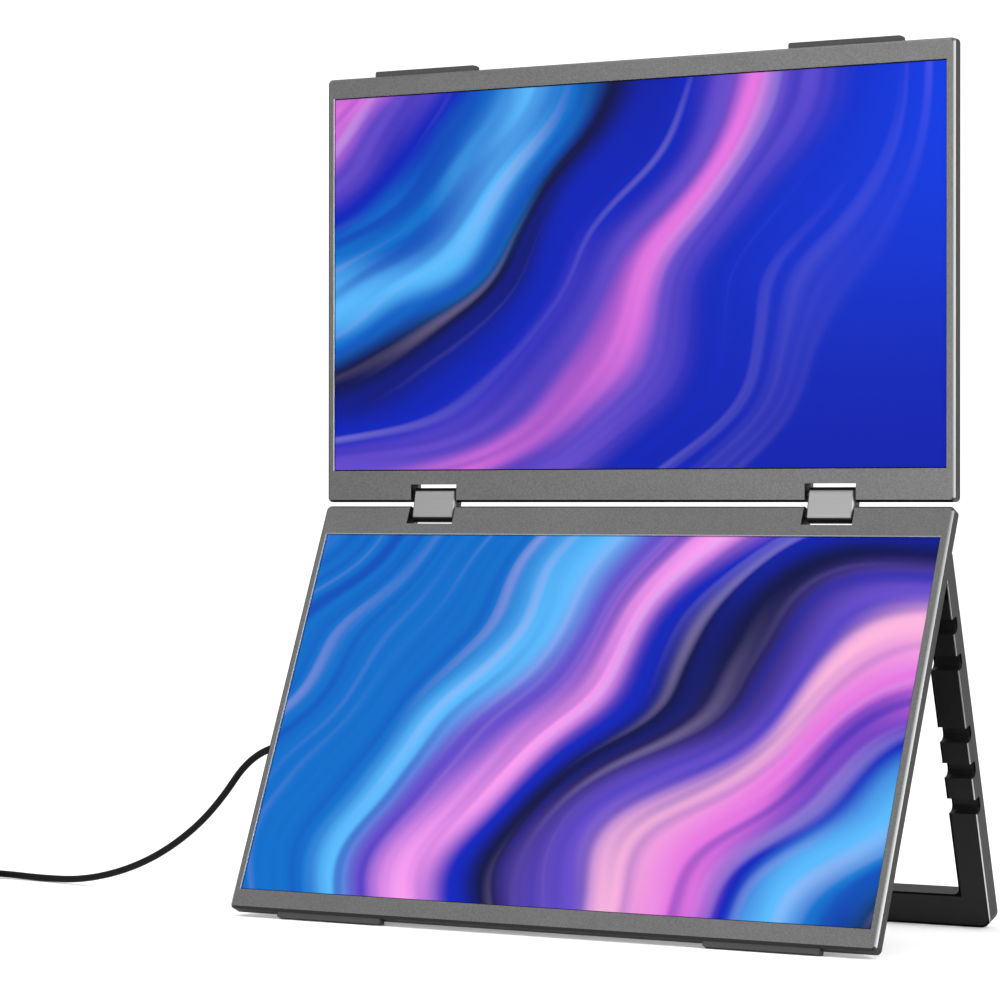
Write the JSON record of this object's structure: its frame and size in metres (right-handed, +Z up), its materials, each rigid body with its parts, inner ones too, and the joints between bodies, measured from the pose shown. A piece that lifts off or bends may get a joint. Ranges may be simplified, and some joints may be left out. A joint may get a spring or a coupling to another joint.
{
  "type": "dual portable monitor",
  "caption": "Two stacked flat screens joined by two-axis hinges, with a folding rear stand frame, a rear controller housing and a plugged-in cable.",
  "frame": {"origin": "centre of the footprint of the standing object without its cable, on the table", "axes": "+Z up, +X to the viewer's right, +Y away from the viewer, behind the screens"},
  "size_m": [0.5572, 0.1558, 0.386],
  "materials": {
    "housing": "fine-blasted grey paint",
    "back_shell": "fine-blasted grey paint",
    "display": "lit display surface",
    "light_guide": "clear acrylic and films",
    "steel": "bright steel",
    "board": "green solder mask",
    "chip": "black moulded chips",
    "rubber": "dark grey rubber",
    "black_metal": "black painted metal",
    "pale_metal": "satin pale metal",
    "black_plastic": "smooth black plastic",
    "box_plastic": "fine-textured dark plastic",
    "key_plastic": "satin black keys",
    "tape": "amber flexible circuit",
    "cable": "black cable jacket",
    "strap": "black hook-and-loop strap"
  },
  "bodies": {
    "lower_screen": {"lower_front_frame": "housing", "lower_rear_cover": "back_shell", "lower_display_glass": "display", "lower_light_guide": "light_guide", "lower_panel_tray": "steel", "lower_driver_board": "board", "lower_hinge_brackets": "steel", "lower_bracket_screws": "steel", "lower_hinge_shafts": "steel", "lower_foot_strips": "rubber", "lower_display_cable": "tape", "controller_cover": "box_plastic", "controller_cover_screws": "steel", "controller_board": "board", "controller_board_screws": "steel", "controller_chips": "chip", "usb_c_sockets": "steel", "mini_hdmi_socket": "steel", "audio_jack": "black_plastic", "speakers": "black_plastic", "switch_board": "board", "push_switches": "black_plastic", "stand_brackets": "black_metal", "cable_plug": "steel", "cable_grip": "cable", "cable_strain_relief": "cable", "cable_lead": "cable", "cable_coil": "cable", "cable_tie": "strap", "cable_tail": "cable", "far_plug": "steel", "far_grip": "cable", "far_strain_relief": "cable"},
    "hinge_link_pair": {"hinge_links": "black_metal", "hinge_caps": "pale_metal", "friction_clips": "steel"},
    "upper_screen": {"upper_front_frame": "housing", "upper_rear_cover": "back_shell", "upper_display_glass": "display", "upper_light_guide": "light_guide", "upper_panel_tray": "steel", "upper_driver_board": "board", "upper_hinge_brackets": "steel", "upper_bracket_screws": "steel", "upper_hinge_shafts": "steel", "upper_foot_strips": "rubber"},
    "rear_stand": {"stand_frame": "housing", "stand_liner": "black_plastic", "stand_pins": "steel", "stand_pads": "rubber"},
    "power_button": {"power_button": "key_plastic"},
    "plus_button": {"plus_button": "key_plastic"},
    "menu_button": {"menu_button": "key_plastic"},
    "minus_button": {"minus_button": "key_plastic"}
  },
  "joints": [
    {"name": "lower_tilt", "type": "hinge", "parent": "lower_screen", "child": "hinge_link_pair", "pos_m": [0, 0.01364, 0.17977], "axis": [1, 0, 0], "range_deg": [-68, 78]},
    {"name": "upper_tilt", "type": "hinge", "parent": "hinge_link_pair", "child": "upper_screen", "pos_m": [0, 0.01564, 0.18916], "axis": [1, 0, 0], "range_deg": [-68, 78]},
    {"name": "stand_swing", "type": "hinge", "parent": "lower_screen", "child": "rear_stand", "pos_m": [0, 0.01469, 0.15851], "axis": [1, 0, 0], "range_deg": [-41.61, 15]},
    {"name": "power_button_press", "type": "slide", "parent": "lower_screen", "child": "power_button", "axis": [-1, 0, 0], "range_m": [0, 0.00045], "stiffness_N_per_m": 300, "springref_m": -0.001},
    {"name": "plus_button_press", "type": "slide", "parent": "lower_screen", "child": "plus_button", "axis": [-1, 0, 0], "range_m": [0, 0.00045], "stiffness_N_per_m": 300, "springref_m": -0.001},
    {"name": "menu_button_press", "type": "slide", "parent": "lower_screen", "child": "menu_button", "axis": [-1, 0, 0], "range_m": [0, 0.00045], "stiffness_N_per_m": 300, "springref_m": -0.001},
    {"name": "minus_button_press", "type": "slide", "parent": "lower_screen", "child": "minus_button", "axis": [-1, 0, 0], "range_m": [0, 0.00045], "stiffness_N_per_m": 300, "springref_m": -0.001}
  ]
}
